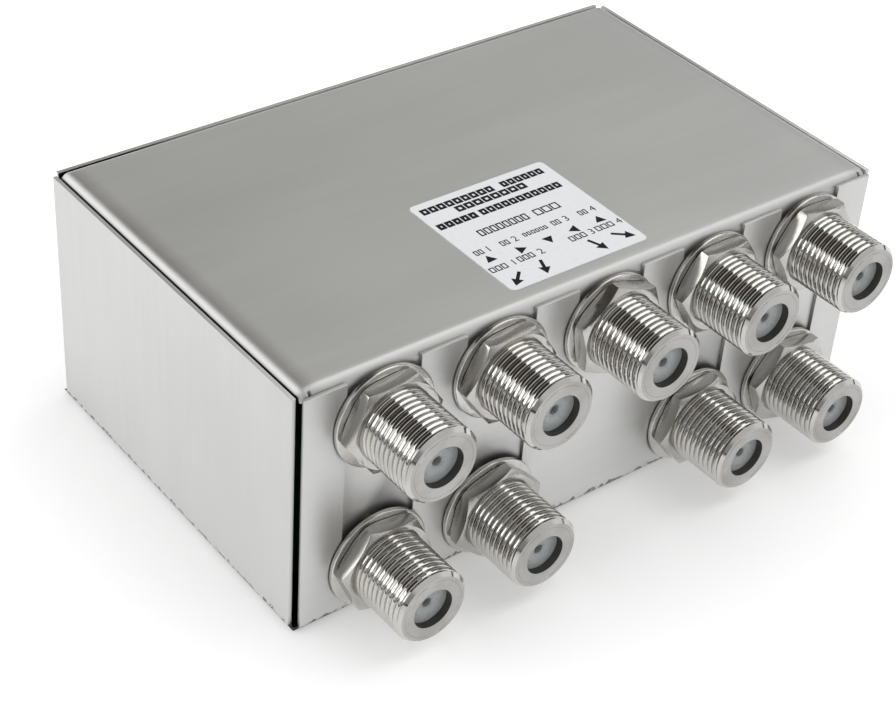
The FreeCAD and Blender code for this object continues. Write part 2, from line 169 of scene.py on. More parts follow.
bpy.ops.mesh.primitive_plane_add(size=TABLE_SIZE, location=(0.0, 0.0, -TABLE_DROP))
table = bpy.context.object
table.name = "table"
table_paint, tree = new_material("table_paint")
rays = add(tree, "ShaderNodeLightPath").outputs
place = object_place(tree)
reach = add(tree, "ShaderNodeVectorMath", operation="LENGTH")
set_socket(tree, reach.inputs[0], place)
# Painted shade: the floor's glow for camera rays is lower within a ring round the box than beyond it, so the
# floor darkens near the box.
floor_glow_with_painted_shade = spread(tree, reach.outputs["Value"], *TABLE_PAINTED_SHADE_RING, TABLE_GLOW, TABLE_GLOW_FAR)
floor_glow_with_painted_shade = math_node(tree, "MULTIPLY", rays["Is Camera Ray"], floor_glow_with_painted_shade)
# Painted reflection: glossy and transmission rays see the floor glow dimmer to the left of the box than
# elsewhere, which sets how bright the box's metal looks there.
mirror_rays = math_node(tree, "MAXIMUM", rays["Is Glossy Ray"], rays["Is Transmission Ray"])
painted_reflection_glow = spread(tree, split(tree, place)["X"], *TABLE_DIM_REFLECTION_SPAN, TABLE_REFLECTION_GLOW_LEFT, TABLE_GLOW_MIRRORED)
painted_reflection_glow = math_node(tree, "MULTIPLY", mirror_rays, painted_reflection_glow)
glow = add(tree, "ShaderNodeEmission", Strength=math_node(tree, "ADD", floor_glow_with_painted_shade, painted_reflection_glow))
matt = add(tree, "ShaderNodeBsdfPrincipled", **{
    "Base Color": TABLE_COLOR, "Roughness": TABLE_ROUGHNESS, "Specular IOR Level": TABLE_SPECULAR})
both = add(tree, "ShaderNodeAddShader")
set_socket(tree, both.inputs[0], matt.outputs[0])
set_socket(tree, both.inputs[1], glow.outputs[0])
surface(tree, both)
table.data.materials.append(table_paint)

BACK_WALL_SPAN = (-0.3, 0.2)
SKIRT_LEVEL = 0.85
RIGHT_SKIRT_LEVEL = 0.70
FRONT_WALL_SPAN = (-0.2, 0.4)
LEFT_ROOM_LEVEL = 0.35
ROOM_LEVEL = 1.0
WALL_SPAN = (-0.1, 0.2)
BACK_ROOF_SPAN = (0.45, 0.65)
RIGHT_CEILING_LEVEL = 0.18
BACK_CEILING_LEVEL = 0.42
SIDE_ROOF_SPAN = (0.05, 0.30)
CEILING_LEVEL = 0.045
FRONT_ROOF_SPAN = (-0.45, -0.15)
FRONT_CEILING_LEVEL = 0.75
CEILING_SPAN = (0.34, 0.50)
DARK_LINE_SPAN = (0.05, 0.08)
SOFT_LEVEL = 0.43
CEILING_COLOR = (1.0, 0.86, 0.74, 1.0)
RIGHT_CEILING_COLOR = (1.0, 1.0, 0.94, 1.0)

world = bpy.data.worlds.new("room")
world.use_nodes = True
tree = world.node_tree
tree.nodes.clear()
rays = add(tree, "ShaderNodeLightPath").outputs
toward_right, toward_back, height = split(tree, add(tree, "ShaderNodeTexCoord").outputs["Generated"])
back_wall = spread(tree, toward_right, *BACK_WALL_SPAN, SKIRT_LEVEL, RIGHT_SKIRT_LEVEL)
front_wall = spread(tree, toward_right, *FRONT_WALL_SPAN, LEFT_ROOM_LEVEL, ROOM_LEVEL)
wall = spread(tree, toward_back, *WALL_SPAN, front_wall, back_wall)
roof = spread(tree, toward_back, *BACK_ROOF_SPAN, RIGHT_CEILING_LEVEL, BACK_CEILING_LEVEL)
roof = spread(tree, toward_right, *SIDE_ROOF_SPAN, CEILING_LEVEL, roof)
roof = spread(tree, toward_back, *FRONT_ROOF_SPAN, FRONT_CEILING_LEVEL, roof)
room = spread(tree, height, *CEILING_SPAN, wall, roof)
room = spread(tree, height, *DARK_LINE_SPAN, CEILING_LEVEL, room)
room = mix(tree, "FLOAT", rays["Is Camera Ray"], room, 1.0)
room = mix(tree, "FLOAT", rays["Is Diffuse Ray"], room, SOFT_LEVEL)
overhead = math_node(tree, "MULTIPLY", spread(tree, height, *CEILING_SPAN, 0.0, 1.0), rays["Is Glossy Ray"])
overhead = math_node(tree, "MULTIPLY", overhead, spread(tree, toward_back, *FRONT_ROOF_SPAN, 0.0, 1.0))
roof_share = spread(tree, toward_right, *SIDE_ROOF_SPAN, 0.0, 1.0)
roof_color = mix(tree, "RGBA", roof_share, CEILING_COLOR, RIGHT_CEILING_COLOR)
room_color = mix(tree, "RGBA", overhead, WHITE, roof_color)
air = add(tree, "ShaderNodeBackground", Color=room_color, Strength=room)
add(tree, "ShaderNodeOutputWorld", Surface=air.outputs[0])
bpy.context.scene.world = world


# The bottom tray is one sheet of tinned steel, half a millimetre thick, its four walls folded up
# and left open at the corners. Nothing holds it but its own folds; the sockets clamp the front.
SHEET_COLOR = (0.66, 0.66, 0.65, 1.0)
SHEET_SHADE = (0.955, 0.955, 0.955, 1.0)
SHEET_ROUGHNESS = 0.46
SHEET_EDGE_BEVEL = 0.07
# The near-black colour below is painted shade, for the gaps between the sheets, the tray's foot and the
# backs of the washers and nuts.
PAINTED_SHADE_COLOR = (0.035, 0.035, 0.035, 1.0)
NOISE_SPAN = (0.3, 0.7)
HAIR = (900.0, 3.0, (0.05, 1.0, 1.0))
HAIR_SHARE = 0.5
HAIR_HEIGHT = 0.35
STREAK = (170.0, 3.0, (0.12, 1.0, 1.0))
STREAK_SHARE = 0.6
CLOUD = (38.0, 2.0)
CLOUD_SHARE = 0.7
TONE_SPAN = (-1.6, 1.6)
TONE_ROUGHNESS = 0.012
GRAIN_STRENGTH = 0.12
GRAIN_DEPTH = 0.02 * MM
GAP_SIDE_SPAN = (-36.0 * MM, -22.0 * MM)
GAP_DEPTH_SPAN = (31.5 * MM, 31.8 * MM)
GAP_TOP_SPAN = (32.78 * MM, 32.93 * MM)
TRAY_FRONT = 25.8 * MM
TRAY_INSIDE_X = 42.55 * MM
TRAY_INSIDE_Y = 25.93 * MM
SCUFF_AND_SHADE_NOISE = (1300.0, 3.0)
SCUFF_AND_SHADE_SPAN = (0.65 * MM, 1.05 * MM)
SCUFF_AND_SHADE_SPREAD = 0.45 * MM
SCUFF_AND_SHADE_AMOUNT = 0.75
MERGE_DISTANCE = 0.000001
FLAT_ANGLE = 0.2


def cad_copy(node, name):
    piece = bpy.data.objects.new(name, nodes[node].data.copy())
    bpy.context.collection.objects.link(piece)
    for key in list(piece.keys()):
        del piece[key]
    bpy.ops.object.select_all(action="DESELECT")
    piece.select_set(True)
    bpy.context.view_layer.objects.active = piece
    bpy.ops.mesh.customdata_custom_splitnormals_clear()
    bpy.ops.object.mode_set(mode="EDIT")
    bpy.ops.mesh.select_all(action="SELECT")
    bpy.ops.mesh.remove_doubles(threshold=MERGE_DISTANCE)
    bpy.ops.mesh.dissolve_limited(angle_limit=math.radians(FLAT_ANGLE))
    bpy.ops.object.mode_set(mode="OBJECT")
    return piece


def soften(piece, width, segments=2, corner=35.0):
    bevel = piece.modifiers.new("edges", "BEVEL")
    bevel.width = width * MM
    bevel.segments = segments
    bevel.limit_method = "ANGLE"
    bevel.angle_limit = math.radians(corner)
    bpy.context.view_layer.objects.active = piece
    bpy.ops.object.modifier_apply(modifier=bevel.name)
    bpy.ops.object.shade_smooth_by_angle(angle=math.radians(corner))


def claim_piece(piece, slot, *replaced):
    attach(piece, "root")
    if replaced:
        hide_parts(*replaced)
    bpy.ops.object.select_all(action="DESELECT")


def finish_piece(piece, material, slot, *replaced):
    piece.data.materials.clear()
    piece.data.materials.append(material)
    claim_piece(piece, slot, *replaced)


def new_group(name, color, roughness):
    group = bpy.data.node_groups.new(name, "ShaderNodeTree")
    kinds = {"Vector": "NodeSocketVector", "Color": "NodeSocketColor", "Roughness": "NodeSocketFloat",
             "Height": "NodeSocketFloat"}
    for label, value in (("Vector", None), ("Color", color), ("Roughness", roughness)):
        socket = group.interface.new_socket(label, in_out="INPUT", socket_type=kinds[label])
        if value is not None:
            socket.default_value = value
    for label in ("Color", "Roughness", "Height"):
        group.interface.new_socket(label, in_out="OUTPUT", socket_type=kinds[label])
    return group, group.nodes.new("NodeGroupInput").outputs, group.nodes.new("NodeGroupOutput").inputs


def noise(tree, vector, scale, detail, stretch=(1.0, 1.0, 1.0)):
    mapping = add(tree, "ShaderNodeMapping", Scale=stretch, Vector=vector)
    texture = add(tree, "ShaderNodeTexNoise", Scale=scale, Detail=detail, Vector=mapping.outputs[0])
    return texture.outputs["Fac"]


rolled, given, result = new_group("rolled_sheet", SHEET_COLOR, SHEET_ROUGHNESS)
hair = noise(rolled, given["Vector"], *HAIR)
streak = noise(rolled, given["Vector"], *STREAK)
cloud = noise(rolled, given["Vector"], *CLOUD)
tone = math_node(rolled, "ADD", spread(rolled, hair, *NOISE_SPAN, -HAIR_SHARE, HAIR_SHARE),
                 spread(rolled, streak, *NOISE_SPAN, -STREAK_SHARE, STREAK_SHARE))
tone = math_node(rolled, "ADD", tone, spread(rolled, cloud, *NOISE_SPAN, -CLOUD_SHARE, CLOUD_SHARE))
darker = mix(rolled, "RGBA", 1.0, given["Color"], SHEET_SHADE, "MULTIPLY")
shade = spread(rolled, tone, *TONE_SPAN, 0.0, 1.0)
set_socket(rolled, result["Color"], mix(rolled, "RGBA", shade, darker, given["Color"]))
rough = math_node(rolled, "MULTIPLY", tone, TONE_ROUGHNESS)
set_socket(rolled, result["Roughness"], math_node(rolled, "ADD", given["Roughness"], rough))
hair_height = math_node(rolled, "MULTIPLY", hair, HAIR_HEIGHT)
set_socket(rolled, result["Height"], math_node(rolled, "ADD", hair_height, streak))


# Painted shade in the gap between tray and cover: there the sheet is painted near black below the bend, and
# up to the top edge towards the left end, fading out to the right.
def painted_gap_shade(tree, x, z, in_gap):
    rim = spread(tree, x, *GAP_SIDE_SPAN, 1.0, 0.0)
    depth = spread(tree, z, *GAP_DEPTH_SPAN, 1.0, rim)
    below_top = spread(tree, z, *GAP_TOP_SPAN, 1.0, 0.0)
    return math_node(tree, "MULTIPLY", in_gap, math_node(tree, "MULTIPLY", depth, below_top))


def rolled_metal(tree, place, painted_dark, bend=None, fold=None):
    grain = add(tree, "ShaderNodeGroup", node_tree=rolled)
    set_socket(tree, grain.inputs["Vector"], place)
    rough = grain.outputs["Roughness"]
    bump = add(tree, "ShaderNodeBump", Strength=GRAIN_STRENGTH, Distance=GRAIN_DEPTH,
               Height=grain.outputs["Height"])
    if bend is not None:
        rough = math_node(tree, "ADD", rough, bend)
        set_socket(tree, bump.inputs["Normal"], fold)
    metal = add(tree, "ShaderNodeBsdfPrincipled", Metallic=1.0, Roughness=rough, Normal=bump.outputs[0])
    set_socket(tree, metal.inputs["Base Color"],
               mix(tree, "RGBA", painted_dark, grain.outputs["Color"], PAINTED_SHADE_COLOR))
    surface(tree, metal)


tray_steel, tree = new_material("tray_steel")
place = object_place(tree)
x, y, z = split(tree, place)
aside = math_node(tree, "ABSOLUTE", y)
in_gap = math_node(tree, "MULTIPLY",
                   math_node(tree, "LESS_THAN", math_node(tree, "ABSOLUTE", x), TRAY_INSIDE_X),
                   math_node(tree, "LESS_THAN", aside, TRAY_INSIDE_Y))
# Scuffs and painted contact shade: a ragged band along the tray's foot, about a millimetre high, is painted
# towards near black.
ragged = spread(tree, noise(tree, place, *SCUFF_AND_SHADE_NOISE), *NOISE_SPAN, -SCUFF_AND_SHADE_SPREAD, SCUFF_AND_SHADE_SPREAD)
scuffs_and_foot_shade = spread(tree, math_node(tree, "ADD", z, ragged), *SCUFF_AND_SHADE_SPAN, SCUFF_AND_SHADE_AMOUNT, 0.0)
painted_dark = math_node(tree, "MAXIMUM", painted_gap_shade(tree, x, z, in_gap), scuffs_and_foot_shade)
side_place = add(tree, "ShaderNodeCombineXYZ", X=math_node(tree, "ADD", x, z), Y=y).outputs[0]
on_front = math_node(tree, "GREATER_THAN", aside, TRAY_FRONT)
rolled_metal(tree, mix(tree, "VECTOR", on_front, side_place, place), painted_dark)

tray = cad_copy("bottom_tray", "tray_sheet")
soften(tray, SHEET_EDGE_BEVEL)
finish_piece(tray, tray_steel, "tinned_sheet", "bottom_tray")


# The top cover is a second tinned sheet, its four walls folded down inside the tray. Its corners are
# rounded above and open below the bend, and the sockets hold its front wall to the tray's.
COVER_GAP_X = 42.10 * MM
COVER_GAP_Y = 25.36 * MM
BEND_X_SPAN = (41.0 * MM, 41.5 * MM)
BEND_Y_SPAN = (24.6 * MM, 25.1 * MM)
BEND_Z_SPAN = (31.0 * MM, 31.5 * MM)
BEND_ROUGHNESS = 0.14
FOLD_START_X = 39.1 * MM
FOLD_START_Y = 24.0 * MM
FOLD_FALL = -60.0

cover_steel, tree = new_material("cover_steel")
place = object_place(tree)
x, y, z = split(tree, place)
beside = math_node(tree, "ABSOLUTE", x)
aside = math_node(tree, "ABSOLUTE", y)
# The cover's flaps in the gap get the same painted shade.
in_gap = math_node(tree, "MAXIMUM", math_node(tree, "GREATER_THAN", beside, COVER_GAP_X),
                   math_node(tree, "GREATER_THAN", y, COVER_GAP_Y))
bend = math_node(tree, "MAXIMUM", spread(tree, beside, *BEND_X_SPAN, 0.0, BEND_ROUGHNESS),
                 spread(tree, aside, *BEND_Y_SPAN, 0.0, BEND_ROUGHNESS))
bend = spread(tree, z, *BEND_Z_SPAN, 0.0, bend)
past_x = math_node(tree, "MAXIMUM", math_node(tree, "SUBTRACT", beside, FOLD_START_X), 0.0)
past_y = math_node(tree, "MAXIMUM", math_node(tree, "SUBTRACT", aside, FOLD_START_Y), 0.0)
fall = math_node(tree, "ADD", math_node(tree, "POWER", past_x, 2.0), math_node(tree, "POWER", past_y, 2.0))
fold = add(tree, "ShaderNodeBump", Strength=1.0, Distance=1.0,
           Height=math_node(tree, "MULTIPLY", fall, FOLD_FALL))
rolled_metal(tree, place, painted_gap_shade(tree, x, z, in_gap), bend, fold.outputs[0])

cover = cad_copy("top_cover", "cover_sheet")
soften(cover, SHEET_EDGE_BEVEL)
finish_piece(cover, cover_steel, "tinned_sheet", "top_cover")


# The label is a white film sticker pressed on the cover, its corners cut round. Its dark print is
# plain: rows of hollow blocks, and a number and an arrow head for each input and output.
LABEL_TOP = 33.5075 * MM
LABEL_COLOR = (0.85, 0.86, 0.88, 1.0)
LABEL_SHADE = (0.82, 0.83, 0.85, 1.0)
LABEL_ROUGHNESS = (0.42, 0.52)
FIBRE = (1400.0, 3.0)
PRINT_THICKNESS = 0.01 * MM
PRINT_COLOR = (0.010, 0.010, 0.014, 1.0)
PRINT_SHADE = (0.016, 0.016, 0.02, 1.0)
PRINT_ROUGHNESS = 0.6
PRINT_SPECULAR = 0.12
SPECK = (2600.0, 2.0)
BLOCK_GAP = 0.14
NUMBER_SIZE = 1.55 * MM
NUMBER_CURVES = 3
HEAD_RADIUS = 0.85
HEAD_REACH = 0.4
TAIL_WIDTH = 0.42
ROWS = [(-11.2, -0.4, -5.35, 9, 1.2, 0.39), (0.7, 7.2, -5.35, 6, 1.2, 0.38),
        (-7.2, 3.4, -6.85, 8, 1.2, 0.39), (-11.4, -5.6, -8.9, 5, 1.2, 0.42),
        (-5.2, 7.1, -8.9, 11, 1.2, 0.38), (-8.1, -0.7, -12.4, 8, 1.3, 0.20),
        (0.2, 4.0, -12.4, 3, 1.3, 0.20), (-11.1, -9.75, -15.3, 2, 0.95, 0.15),
        (-7.3, -5.95, -15.3, 2, 0.95, 0.15), (-3.9, -0.2, -15.1, 6, 0.7, 0.14),
        (0.5, 1.85, -15.1, 2, 0.95, 0.15), (4.6, 5.95, -15.1, 2, 0.95, 0.15),
        (-11.7, -9.15, -19.0, 3, 1.0, 0.16), (-7.6, -5.15, -18.9, 3, 1.0, 0.16),
        (0.15, 2.7, -18.85, 3, 1.0, 0.16), (4.15, 6.9, -18.8, 3, 1.0, 0.16)]
NUMBERS = [("1", -9.0, -15.3), ("2", -5.1, -15.3), ("3", 2.75, -15.1), ("4", 6.8, -15.1),
           ("1", -8.2, -19.0), ("2", -4.15, -18.9), ("3", 3.55, -18.85), ("4", 7.75, -18.8)]
HEADS = [(-10.1, -16.6, 215.0, 0.0), (-5.9, -16.9, 240.0, 0.0), (-1.8, -16.9, 270.0, 0.0),
         (2.1, -16.9, 300.0, 0.0), (6.0, -16.9, 325.0, 0.0), (-10.3, -21.7, 225.0, 1.6),
         (-6.0, -21.5, 250.0, 1.5), (2.6, -21.4, 290.0, 1.6), (6.8, -21.2, 322.0, 1.7)]

label_film, tree = new_material("label_film")
fibre = noise(tree, object_place(tree), *FIBRE)
pale = mix(tree, "RGBA", spread(tree, fibre, *NOISE_SPAN, 0.0, 1.0), LABEL_COLOR, LABEL_SHADE)
film = add(tree, "ShaderNodeBsdfPrincipled", Roughness=spread(tree, fibre, *NOISE_SPAN, *LABEL_ROUGHNESS))
set_socket(tree, film.inputs["Base Color"], pale)
surface(tree, film)
nodes["port_label"].material_slots[0].material = label_film

print_ink, tree = new_material("print_ink")
ink_color = mix(tree, "RGBA", noise(tree, object_place(tree), *SPECK), PRINT_COLOR, PRINT_SHADE)
surface(tree, add(tree, "ShaderNodeBsdfPrincipled", **{
    "Base Color": ink_color, "Roughness": PRINT_ROUGHNESS, "Specular IOR Level": PRINT_SPECULAR}))

marks = []
for start, end, foot, blocks, height, stroke in ROWS:
    step = (end - start) / blocks
    for block in range(blocks):
        x = start + (block + 0.5) * step
        bpy.ops.mesh.primitive_plane_add(size=1.0, location=(x * MM, (foot + height / 2) * MM, LABEL_TOP))
        bpy.context.object.scale = ((step - BLOCK_GAP) * MM, height * MM, 1.0)
        bpy.ops.object.transform_apply(location=False, rotation=False, scale=True)
        bpy.ops.object.mode_set(mode="EDIT")
        bpy.ops.mesh.select_all(action="SELECT")
        bpy.ops.mesh.inset(thickness=stroke * MM)
        bpy.ops.mesh.delete(type="FACE")
        bpy.ops.object.mode_set(mode="OBJECT")
        marks.append(bpy.context.object)
for number, x, y in NUMBERS:
    bpy.ops.object.text_add(location=(x * MM, y * MM, LABEL_TOP))
    figure = bpy.context.object
    figure.data.body = number
    figure.data.size = NUMBER_SIZE
    figure.data.align_x = "CENTER"
    figure.data.resolution_u = NUMBER_CURVES
    bpy.ops.object.convert(target="MESH")
    marks.append(bpy.context.object)
for x, y, turn, tail in HEADS:
    angle = math.radians(turn)
    bpy.ops.mesh.primitive_circle_add(
        vertices=3, radius=HEAD_RADIUS * MM, fill_type="NGON", location=(x * MM, y * MM, LABEL_TOP),
        rotation=(0.0, 0.0, angle - math.pi / 2))
    marks.append(bpy.context.object)
    if tail:
        centre = Vector((x, y)) - Vector((math.cos(angle), math.sin(angle))) * (HEAD_REACH + tail / 2)
        bpy.ops.mesh.primitive_plane_add(
            size=1.0, location=(centre.x * MM, centre.y * MM, LABEL_TOP), rotation=(0.0, 0.0, angle))
        bpy.context.object.scale = (tail * MM, TAIL_WIDTH * MM, 1.0)
        marks.append(bpy.context.object)
bpy.ops.object.select_all(action="DESELECT")
for mark in marks:
    mark.select_set(True)
label_print = marks[0]
bpy.context.view_layer.objects.active = label_print
bpy.ops.object.transform_apply(location=True, rotation=True, scale=True)
bpy.ops.object.join()
label_print.name = "label_print"
bpy.ops.object.mode_set(mode="EDIT")
bpy.ops.mesh.select_all(action="SELECT")
bpy.ops.mesh.remove_doubles(threshold=MERGE_DISTANCE)
bpy.ops.mesh.extrude_region_move(TRANSFORM_OT_translate={"value": (0.0, 0.0, PRINT_THICKNESS)})
bpy.ops.mesh.select_all(action="SELECT")
bpy.ops.mesh.normals_make_consistent(inside=False)
bpy.ops.object.mode_set(mode="OBJECT")
finish_piece(label_print, print_ink, "label_paper")


# Each socket's body is turned from brass and nickel plated, with a right-handed thread of 32 turns
# an inch along the barrel and a plain chamfer at the nose. Its shoulder sits behind the sheet.
SOCKETS = ["in_1", "in_2", "terrestrial_in", "in_3", "in_4", "out_1", "out_2", "out_3", "out_4"]
THREAD_PITCH = 25.4 / 32.0
THREAD_RADIUS = 4.7625
THREAD_START = -28.6
THREAD_TURNS = 11
THREAD_STEPS = 96
GROOVE = [(0.10, -0.345), (0.0, -0.330), (-0.008, -0.28), (-0.024, -0.225), (-0.052, -0.175),
          (-0.085, -0.14), (-0.13, -0.115), (-0.30, -0.045), (-0.345, -0.02), (-0.345, 0.02),
          (-0.30, 0.045), (-0.13, 0.115), (-0.095, 0.145), (-0.068, 0.19), (-0.045, 0.245),
          (-0.026, 0.305), (-0.011, 0.37), (0.0, 0.445), (0.10, 0.455)]
BARREL_ANGLE = 32.0
NOSE = -37.2
NOSE_FACE = -37.1 * MM
NOSE_RING = 3.85
NOSE_RING_DEPTH = 0.045
RING_SIDES = 8
MOUTH_RADIUS = 2.7 * MM
MOUTH_TILT = 0.5
NOSE_TILT = -0.9
NICKEL_COLOR = (0.58, 0.57, 0.55, 1.0)
NICKEL_SHADE = (0.86, 0.85, 0.83, 1.0)
NICKEL_ROUGHNESS = 0.12
PATCH = (260.0, 3.0)
PATCH_COLOR_SPAN = (0.35, 0.7)
PATCH_ROUGH_SPAN = (0.3, 0.75)
PATCH_ROUGHNESS = (-0.03, 0.06)
GRIT = (2200.0, 2.0)
GRIT_HEIGHT = 0.3
PLATE_STRENGTH = 0.25
PAINTED_SHADE_FADE = 0.05

plated, given, result = new_group("plated_metal", NICKEL_COLOR, NICKEL_ROUGHNESS)
patch = noise(plated, given["Vector"], *PATCH)
grit = noise(plated, given["Vector"], *GRIT)
dull = mix(plated, "RGBA", 1.0, given["Color"], NICKEL_SHADE, "MULTIPLY")
dullness = spread(plated, patch, *PATCH_COLOR_SPAN, 0.0, 1.0)
set_socket(plated, result["Color"], mix(plated, "RGBA", dullness, given["Color"], dull))
rough = spread(plated, patch, *PATCH_ROUGH_SPAN, *PATCH_ROUGHNESS)
set_socket(plated, result["Roughness"], math_node(plated, "ADD", given["Roughness"], rough))
grit_height = math_node(plated, "MULTIPLY", grit, GRIT_HEIGHT)
set_socket(plated, result["Height"], math_node(plated, "ADD", patch, grit_height))


def plated_material(name, color, roughness, bump_height, foot=None):
    material, tree = new_material(name)
    place = object_place(tree)
    skin = add(tree, "ShaderNodeGroup", node_tree=plated)
    for label, value in (("Vector", place), ("Color", color), ("Roughness", roughness)):
        set_socket(tree, skin.inputs[label], value)
    tint = skin.outputs["Color"]
    # Painted contact shade: towards the wall, from the given depth on, the part is painted near black.
    if foot is not None:
        shadow = spread(tree, split(tree, place)["Y"], (foot - PAINTED_SHADE_FADE) * MM, foot * MM, 0.0, 1.0)
        tint = mix(tree, "RGBA", shadow, tint, PAINTED_SHADE_COLOR)
    bump = add(tree, "ShaderNodeBump", Strength=PLATE_STRENGTH, Distance=bump_height * MM,
               Height=skin.outputs["Height"])
    metal = add(tree, "ShaderNodeBsdfPrincipled", Metallic=1.0, Roughness=skin.outputs["Roughness"],
                Normal=bump.outputs[0])
    set_socket(tree, metal.inputs["Base Color"], tint)
    surface(tree, metal)
    return material


def axis_of(socket):
    low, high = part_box(socket + "_insulator")
    return Vector(((low.x + high.x) / 2, 0.0, (low.z + high.z) / 2))


def cut_away(piece, tool, smooth_angle):
    cut = piece.modifiers.new("cut", "BOOLEAN")
    cut.operation = "DIFFERENCE"
    cut.solver = "EXACT"
    cut.object = tool
    bpy.context.view_layer.objects.active = piece
    bpy.ops.object.modifier_apply(modifier=cut.name)
    bpy.data.objects.remove(tool)
    bpy.ops.object.select_all(action="DESELECT")
    piece.select_set(True)
    bpy.ops.object.shade_smooth_by_angle(angle=math.radians(smooth_angle))


def repeat_piece(piece, name, socket, slot, replaced):
    repeated = bpy.data.objects.new(name, piece.data.copy())
    bpy.context.collection.objects.link(repeated)
    repeated.data.transform(Matrix.Translation(axis_of(socket) - first_axis))
    claim_piece(repeated, slot, replaced)


first_axis = axis_of(SOCKETS[0])
body_nickel = plated_material("body_nickel", NICKEL_COLOR, 0.10, 0.007)
# Painted shade: a near-black copy of the nickel for the bore's inner wall.
mouth_nickel_painted_shade = plated_material("mouth_nickel_painted_shade", (0.13, 0.13, 0.12, 1.0), 0.35, 0.01)
# Painted shade: a dimmer, rougher copy of the nickel for the nose's front faces.
nose_nickel_painted_shade = plated_material("nose_nickel_painted_shade", (0.42, 0.415, 0.405, 1.0), 0.26, 0.02)
body = cad_copy("in_1_body", "threaded_body_in_1")
bpy.ops.mesh.primitive_circle_add(
    vertices=len(GROOVE), radius=MM, location=(first_axis.x, THREAD_START * MM, first_axis.z))
tap = bpy.context.object
for vertex, (rise, along) in zip(tap.data.vertices, GROOVE):
    vertex.co = (0.0, along * MM, (THREAD_RADIUS + rise) * MM)
screw = tap.modifiers.new("thread", "SCREW")
screw.axis = "Y"
screw.steps = THREAD_STEPS
screw.render_steps = THREAD_STEPS
screw.screw_offset = -THREAD_PITCH * MM
screw.angle = math.radians(-360.0)
screw.iterations = THREAD_TURNS
bpy.ops.object.modifier_apply(modifier=screw.name)
bpy.ops.object.transform_apply(location=True, rotation=True, scale=True)
bpy.ops.object.mode_set(mode="EDIT")
bpy.ops.mesh.select_all(action="SELECT")
bpy.ops.mesh.fill_holes(sides=len(GROOVE))
bpy.ops.mesh.select_all(action="SELECT")
bpy.ops.mesh.normals_make_consistent(inside=False)
bpy.ops.object.mode_set(mode="OBJECT")
bpy.ops.mesh.primitive_torus_add(
    major_radius=NOSE_RING * MM, minor_radius=NOSE_RING_DEPTH * MM, major_segments=THREAD_STEPS,
    minor_segments=RING_SIDES, location=(first_axis.x, NOSE * MM, first_axis.z),
    rotation=(math.pi / 2, 0.0, 0.0))
tap.select_set(True)
bpy.context.view_layer.objects.active = tap
bpy.ops.object.join()
cut_away(body, tap, BARREL_ANGLE)
finish_piece(body, body_nickel, "nickel_plate", "in_1_body")
body.data.materials.append(mouth_nickel_painted_shade)
body.data.materials.append(nose_nickel_painted_shade)
for face in body.data.polygons:
    spot = face.center - first_axis
    # Faces of the bore's inner wall get the near-black copy: painted shade in the mouth.
    if math.hypot(spot.x, spot.z) < MOUTH_RADIUS and abs(face.normal.y) < MOUTH_TILT:
        face.material_index = 1
    # The nose's front faces get the dimmer copy: painted shade.
    elif face.center.y < NOSE_FACE and face.normal.y < NOSE_TILT:
        face.material_index = 2
for socket in SOCKETS[1:]:
    repeat_piece(body, "threaded_body_" + socket, socket, "nickel_plate", socket + "_body")


# Each socket is clamped by a flat washer and a six-sided nut, both steel with a bright nickel
# plate. The washer is stamped and the nut's corners are chamfered on both sides.
NUT_EDGE_BEVEL = 0.10
NUT_EDGE_STEPS = 2
NUT_EDGE_ANGLE = 25.0
NUT_SHADE_FROM = -27.06
WASHER_EDGE_BEVEL = 0.14
WASHER_EDGE_STEPS = 3
WASHER_EDGE_ANGLE = 35.0
WASHER_SHADE_FROM = -26.50
# The back of each nut, against the washer, and of each washer, against the wall, get painted contact shade.
nut_nickel = plated_material("nut_nickel", (0.53, 0.52, 0.50, 1.0), 0.22, 0.04, NUT_SHADE_FROM)
washer_nickel = plated_material("washer_nickel", (0.62, 0.61, 0.59, 1.0), 0.24, 0.04, WASHER_SHADE_FROM)
for socket in SOCKETS:
    nut = cad_copy(socket + "_nut", "hexagon_nut_" + socket)
    soften(nut, NUT_EDGE_BEVEL, NUT_EDGE_STEPS, NUT_EDGE_ANGLE)
    finish_piece(nut, nut_nickel, "nickel_plate", socket + "_nut")
    washer = cad_copy(socket + "_washer", "flat_washer_" + socket)
    soften(washer, WASHER_EDGE_BEVEL, WASHER_EDGE_STEPS, WASHER_EDGE_ANGLE)
    finish_piece(washer, washer_nickel, "nickel_plate", socket + "_washer")


# Each socket's insulator is a pale moulded plug pressed into the barrel, a little translucent, with
# a small hole in its face that leads the plug's wire into the contact.
INSULATOR_FACE = -36.2
INSULATOR_ANGLE = 28.0
FUNNEL_MOUTH = 1.55
FUNNEL_FOOT = 0.35
FUNNEL_DEPTH = 0.35
HUB_RING = 1.75
HUB_RING_DEPTH = 0.05
HUB_STEPS = 64
HAZE = (500.0, 3.0)
RESIN = {"IOR": 1.5, "Subsurface Weight": 0.35, "Subsurface Radius": (0.9, 0.95, 1.0),
         "Subsurface Scale": 0.8 * MM}


def speckled_material(name, grain, first, second, roughness, bump_strength=0.0, **settings):
    material, tree = new_material(name)
    speckle = noise(tree, object_place(tree), *grain)
    shader = add(tree, "ShaderNodeBsdfPrincipled", **settings)
    if bump_strength:
        bump = add(tree, "ShaderNodeBump", Strength=bump_strength, Distance=GRAIN_DEPTH, Height=speckle)
        set_socket(tree, shader.inputs["Normal"], bump.outputs[0])
    set_socket(tree, shader.inputs["Base Color"], mix(tree, "RGBA", speckle, first, second))
    set_socket(tree, shader.inputs["Roughness"], spread(tree, speckle, *NOISE_SPAN, *roughness))
    surface(tree, shader)
    return material


